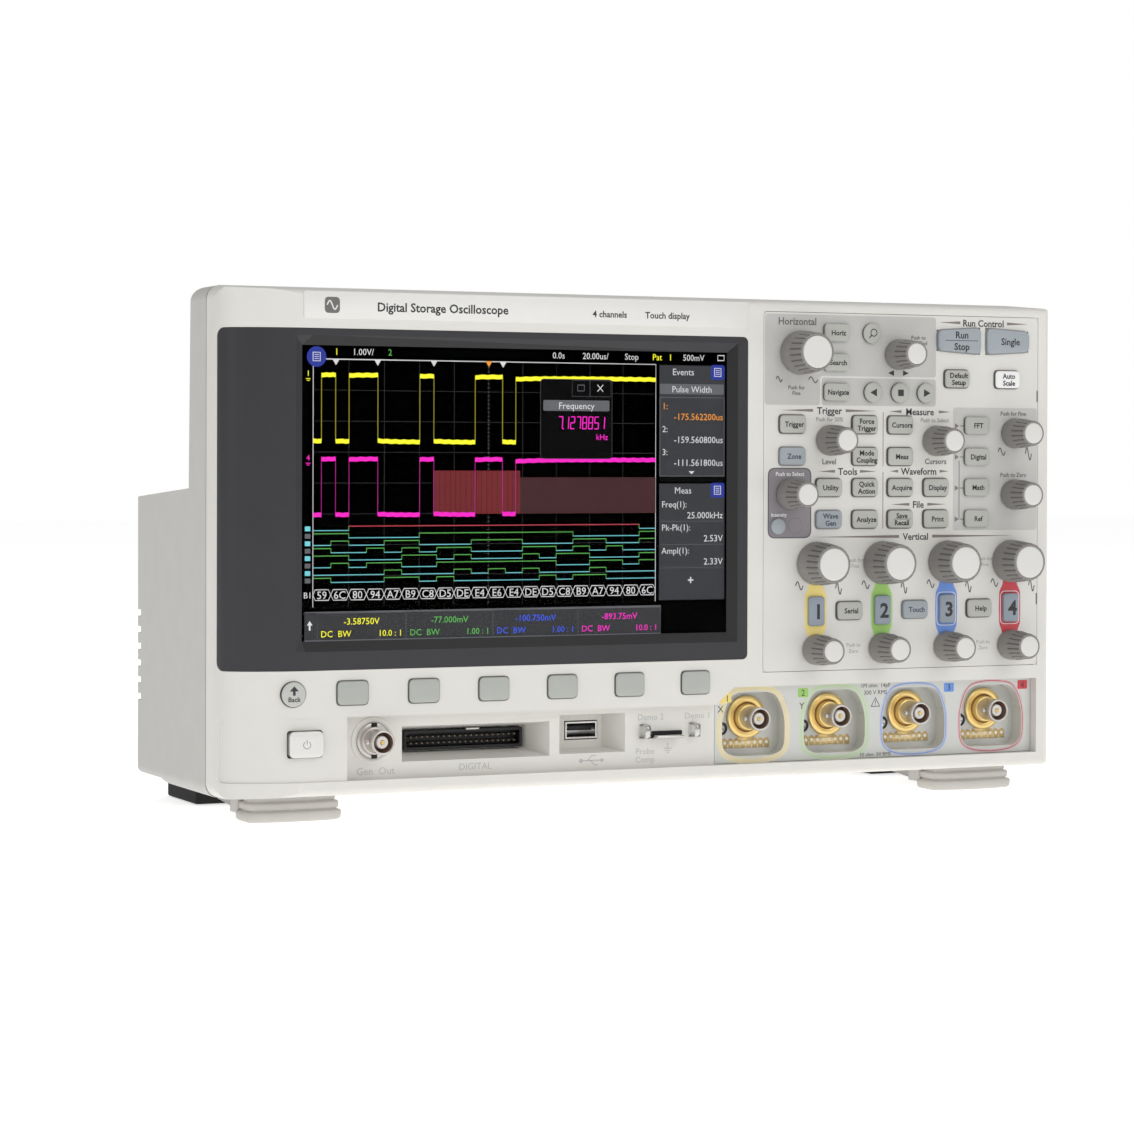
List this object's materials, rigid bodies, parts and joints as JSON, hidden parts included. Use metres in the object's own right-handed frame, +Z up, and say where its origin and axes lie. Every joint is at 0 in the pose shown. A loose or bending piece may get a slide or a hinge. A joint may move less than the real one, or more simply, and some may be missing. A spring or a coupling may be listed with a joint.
{
  "type": "oscilloscope",
  "caption": "Bench oscilloscope with a wide display, key field with turning knobs, coaxial input pockets, stepped cabinet, folding handle and tilt legs.",
  "frame": {"origin": "middle of the bounding box, on the surface that the feet stand on", "axes": "+X to the viewer's right along the front, the front faces -Y, +Z up"},
  "size_m": [0.38, 0.1404, 0.2138],
  "materials": {
    "bezel_plastic": "fine moulded texture, warm white",
    "surround_plastic": "satin charcoal",
    "screen_glass": "smooth glass over a lit display",
    "display_module": "sheet metal and film",
    "field_plate": "printed key field, fine texture",
    "pocket_plastic": "printed input panel",
    "cabinet_plastic": "light grey moulded texture",
    "sheet_steel": "zinc plated",
    "circuit_board": "solder mask green",
    "encoder_metal": "stamped",
    "fan_plastic": "black glass filled",
    "connector_gold": "gold plated flange, nickel barrel",
    "port_metal": "nickel plated",
    "connector_black": "black moulding",
    "foot_plastic": "warm grey",
    "foot_rubber": "black rubber",
    "knob_plastic": "soft touch grey with pale cap",
    "key_rubber": "pale grey silicone",
    "key_blue": "translucent blue grey silicone",
    "softkey_rubber": "green grey silicone",
    "power_plastic": "white, lit from behind",
    "handle_plastic": "dark grey",
    "leg_plastic": "mid grey",
    "screw_steel": "zinc plated"
  },
  "bodies": {
    "cabinet": {"front_bezel": "bezel_plastic", "display_surround": "surround_plastic", "touch_glass": "screen_glass", "lcd_panel": "display_module", "keypad_panel": "field_plate", "input_panel": "pocket_plastic", "rear_cabinet": "cabinet_plastic", "chassis_deck": "sheet_steel", "main_board": "circuit_board", "keyboard_board": "circuit_board", "rotary_encoders": "encoder_metal", "power_supply": "sheet_steel", "fan_frame": "fan_plastic", "bnc_connectors": "connector_gold", "usb_ports": "port_metal", "demo_terminals": "port_metal", "digital_connector": "connector_black", "front_feet": "foot_plastic", "rear_feet": "foot_rubber", "mains_inlet": "connector_black", "module_cover": "cabinet_plastic", "screws": "screw_steel"},
    "fan_rotor": {"fan_rotor": "fan_plastic"},
    "horizontal_scale_knob": {"horizontal_scale_knob": "knob_plastic"},
    "horizontal_delay_knob": {"horizontal_delay_knob": "knob_plastic"},
    "trigger_level_knob": {"trigger_level_knob": "knob_plastic"},
    "cursors_knob": {"cursors_knob": "knob_plastic"},
    "function_scale_knob": {"function_scale_knob": "knob_plastic"},
    "function_offset_knob": {"function_offset_knob": "knob_plastic"},
    "entry_knob": {"entry_knob": "knob_plastic"},
    "scale_knob_1": {"scale_knob_1": "knob_plastic"},
    "scale_knob_2": {"scale_knob_2": "knob_plastic"},
    "scale_knob_3": {"scale_knob_3": "knob_plastic"},
    "scale_knob_4": {"scale_knob_4": "knob_plastic"},
    "position_knob_1": {"position_knob_1": "knob_plastic"},
    "position_knob_2": {"position_knob_2": "knob_plastic"},
    "position_knob_3": {"position_knob_3": "knob_plastic"},
    "position_knob_4": {"position_knob_4": "knob_plastic"},
    "channel_key_1": {"channel_key_1": "key_blue"},
    "channel_key_2": {"channel_key_2": "key_blue"},
    "channel_key_3": {"channel_key_3": "key_blue"},
    "channel_key_4": {"channel_key_4": "key_blue"},
    "softkey_1": {"softkey_1": "softkey_rubber"},
    "softkey_2": {"softkey_2": "softkey_rubber"},
    "softkey_3": {"softkey_3": "softkey_rubber"},
    "softkey_4": {"softkey_4": "softkey_rubber"},
    "softkey_5": {"softkey_5": "softkey_rubber"},
    "softkey_6": {"softkey_6": "softkey_rubber"},
    "back_key": {"back_key": "softkey_rubber"},
    "power_key": {"power_key": "power_plastic"},
    "run_stop_key": {"run_stop_key": "key_blue"},
    "single_key": {"single_key": "key_blue"},
    "setup_keys": {"setup_keys": "key_rubber"},
    "horizontal_keys": {"horizontal_keys": "key_rubber"},
    "trigger_keys": {"trigger_keys": "key_rubber"},
    "measure_keys": {"measure_keys": "key_rubber"},
    "function_keys": {"function_keys": "key_rubber"},
    "carry_handle": {"carry_handle": "handle_plastic"},
    "tilt_leg_left": {"tilt_leg_left": "leg_plastic"},
    "tilt_leg_right": {"tilt_leg_right": "leg_plastic"}
  },
  "joints": [
    {"name": "fan_spin", "type": "hinge", "parent": "cabinet", "child": "fan_rotor", "pos_m": [0.11, 0.05575, 0.071], "axis": [0, 1, 0], "continuous": true},
    {"name": "horizontal_scale_knob_turn", "type": "hinge", "parent": "cabinet", "child": "horizontal_scale_knob", "pos_m": [0.0639, -0.05425, 0.19], "axis": [0, 1, 0], "continuous": true},
    {"name": "horizontal_delay_knob_turn", "type": "hinge", "parent": "cabinet", "child": "horizontal_delay_knob", "pos_m": [0.1122, -0.05425, 0.19], "axis": [0, 1, 0], "continuous": true},
    {"name": "trigger_level_knob_turn", "type": "hinge", "parent": "cabinet", "child": "trigger_level_knob", "pos_m": [0.0785, -0.05425, 0.153], "axis": [0, 1, 0], "continuous": true},
    {"name": "cursors_knob_turn", "type": "hinge", "parent": "cabinet", "child": "cursors_knob", "pos_m": [0.1311, -0.05425, 0.153], "axis": [0, 1, 0], "continuous": true},
    {"name": "function_scale_knob_turn", "type": "hinge", "parent": "cabinet", "child": "function_scale_knob", "pos_m": [0.1711, -0.05425, 0.1565], "axis": [0, 1, 0], "continuous": true},
    {"name": "function_offset_knob_turn", "type": "hinge", "parent": "cabinet", "child": "function_offset_knob", "pos_m": [0.1709, -0.05425, 0.1297], "axis": [0, 1, 0], "continuous": true},
    {"name": "entry_knob_turn", "type": "hinge", "parent": "cabinet", "child": "entry_knob", "pos_m": [0.0595, -0.05425, 0.1301], "axis": [0, 1, 0], "continuous": true},
    {"name": "scale_knob_1_turn", "type": "hinge", "parent": "cabinet", "child": "scale_knob_1", "pos_m": [0.0722, -0.05425, 0.1006], "axis": [0, 1, 0], "continuous": true},
    {"name": "scale_knob_2_turn", "type": "hinge", "parent": "cabinet", "child": "scale_knob_2", "pos_m": [0.1046, -0.05425, 0.1006], "axis": [0, 1, 0], "continuous": true},
    {"name": "scale_knob_3_turn", "type": "hinge", "parent": "cabinet", "child": "scale_knob_3", "pos_m": [0.137, -0.05425, 0.1006], "axis": [0, 1, 0], "continuous": true},
    {"name": "scale_knob_4_turn", "type": "hinge", "parent": "cabinet", "child": "scale_knob_4", "pos_m": [0.1694, -0.05425, 0.1006], "axis": [0, 1, 0], "continuous": true},
    {"name": "position_knob_1_turn", "type": "hinge", "parent": "cabinet", "child": "position_knob_1", "pos_m": [0.0722, -0.05425, 0.064], "axis": [0, 1, 0], "continuous": true},
    {"name": "position_knob_2_turn", "type": "hinge", "parent": "cabinet", "child": "position_knob_2", "pos_m": [0.1046, -0.05425, 0.064], "axis": [0, 1, 0], "continuous": true},
    {"name": "position_knob_3_turn", "type": "hinge", "parent": "cabinet", "child": "position_knob_3", "pos_m": [0.137, -0.05425, 0.064], "axis": [0, 1, 0], "continuous": true},
    {"name": "position_knob_4_turn", "type": "hinge", "parent": "cabinet", "child": "position_knob_4", "pos_m": [0.1694, -0.05425, 0.064], "axis": [0, 1, 0], "continuous": true},
    {"name": "channel_key_1_press", "type": "slide", "parent": "cabinet", "child": "channel_key_1", "axis": [0, 1, 0], "range_m": [0, 0.0008], "stiffness_N_per_m": 900},
    {"name": "channel_key_2_press", "type": "slide", "parent": "cabinet", "child": "channel_key_2", "axis": [0, 1, 0], "range_m": [0, 0.0008], "stiffness_N_per_m": 900},
    {"name": "channel_key_3_press", "type": "slide", "parent": "cabinet", "child": "channel_key_3", "axis": [0, 1, 0], "range_m": [0, 0.0008], "stiffness_N_per_m": 900},
    {"name": "channel_key_4_press", "type": "slide", "parent": "cabinet", "child": "channel_key_4", "axis": [0, 1, 0], "range_m": [0, 0.0008], "stiffness_N_per_m": 900},
    {"name": "softkey_1_press", "type": "slide", "parent": "cabinet", "child": "softkey_1", "axis": [0, 1, 0], "range_m": [0, 0.0008], "stiffness_N_per_m": 900},
    {"name": "softkey_2_press", "type": "slide", "parent": "cabinet", "child": "softkey_2", "axis": [0, 1, 0], "range_m": [0, 0.0008], "stiffness_N_per_m": 900},
    {"name": "softkey_3_press", "type": "slide", "parent": "cabinet", "child": "softkey_3", "axis": [0, 1, 0], "range_m": [0, 0.0008], "stiffness_N_per_m": 900},
    {"name": "softkey_4_press", "type": "slide", "parent": "cabinet", "child": "softkey_4", "axis": [0, 1, 0], "range_m": [0, 0.0008], "stiffness_N_per_m": 900},
    {"name": "softkey_5_press", "type": "slide", "parent": "cabinet", "child": "softkey_5", "axis": [0, 1, 0], "range_m": [0, 0.0008], "stiffness_N_per_m": 900},
    {"name": "softkey_6_press", "type": "slide", "parent": "cabinet", "child": "softkey_6", "axis": [0, 1, 0], "range_m": [0, 0.0008], "stiffness_N_per_m": 900},
    {"name": "back_key_press", "type": "slide", "parent": "cabinet", "child": "back_key", "axis": [0, 1, 0], "range_m": [0, 0.0008], "stiffness_N_per_m": 900},
    {"name": "power_key_press", "type": "slide", "parent": "cabinet", "child": "power_key", "axis": [0, 1, 0], "range_m": [0, 0.0008], "stiffness_N_per_m": 900},
    {"name": "run_stop_key_press", "type": "slide", "parent": "cabinet", "child": "run_stop_key", "axis": [0, 1, 0], "range_m": [0, 0.0008], "stiffness_N_per_m": 900},
    {"name": "single_key_press", "type": "slide", "parent": "cabinet", "child": "single_key", "axis": [0, 1, 0], "range_m": [0, 0.0008], "stiffness_N_per_m": 900},
    {"name": "setup_keys_press", "type": "slide", "parent": "cabinet", "child": "setup_keys", "axis": [0, 1, 0], "range_m": [0, 0.0008], "stiffness_N_per_m": 900},
    {"name": "horizontal_keys_press", "type": "slide", "parent": "cabinet", "child": "horizontal_keys", "axis": [0, 1, 0], "range_m": [0, 0.0008], "stiffness_N_per_m": 900},
    {"name": "trigger_keys_press", "type": "slide", "parent": "cabinet", "child": "trigger_keys", "axis": [0, 1, 0], "range_m": [0, 0.0008], "stiffness_N_per_m": 900},
    {"name": "measure_keys_press", "type": "slide", "parent": "cabinet", "child": "measure_keys", "axis": [0, 1, 0], "range_m": [0, 0.0008], "stiffness_N_per_m": 900},
    {"name": "function_keys_press", "type": "slide", "parent": "cabinet", "child": "function_keys", "axis": [0, 1, 0], "range_m": [0, 0.0008], "stiffness_N_per_m": 900},
    {"name": "handle_lift", "type": "hinge", "parent": "cabinet", "child": "carry_handle", "pos_m": [0, 0.00375, 0.19], "axis": [1, 0, 0], "range_deg": [0, 178]},
    {"name": "tilt_leg_left_fold", "type": "hinge", "parent": "cabinet", "child": "tilt_leg_left", "pos_m": [-0.158, -0.02375, 0.0056], "axis": [-1, 0, 0], "range_deg": [0, 85]},
    {"name": "tilt_leg_right_fold", "type": "hinge", "parent": "cabinet", "child": "tilt_leg_right", "pos_m": [0.158, -0.02375, 0.0056], "axis": [-1, 0, 0], "range_deg": [0, 85]}
  ]
}
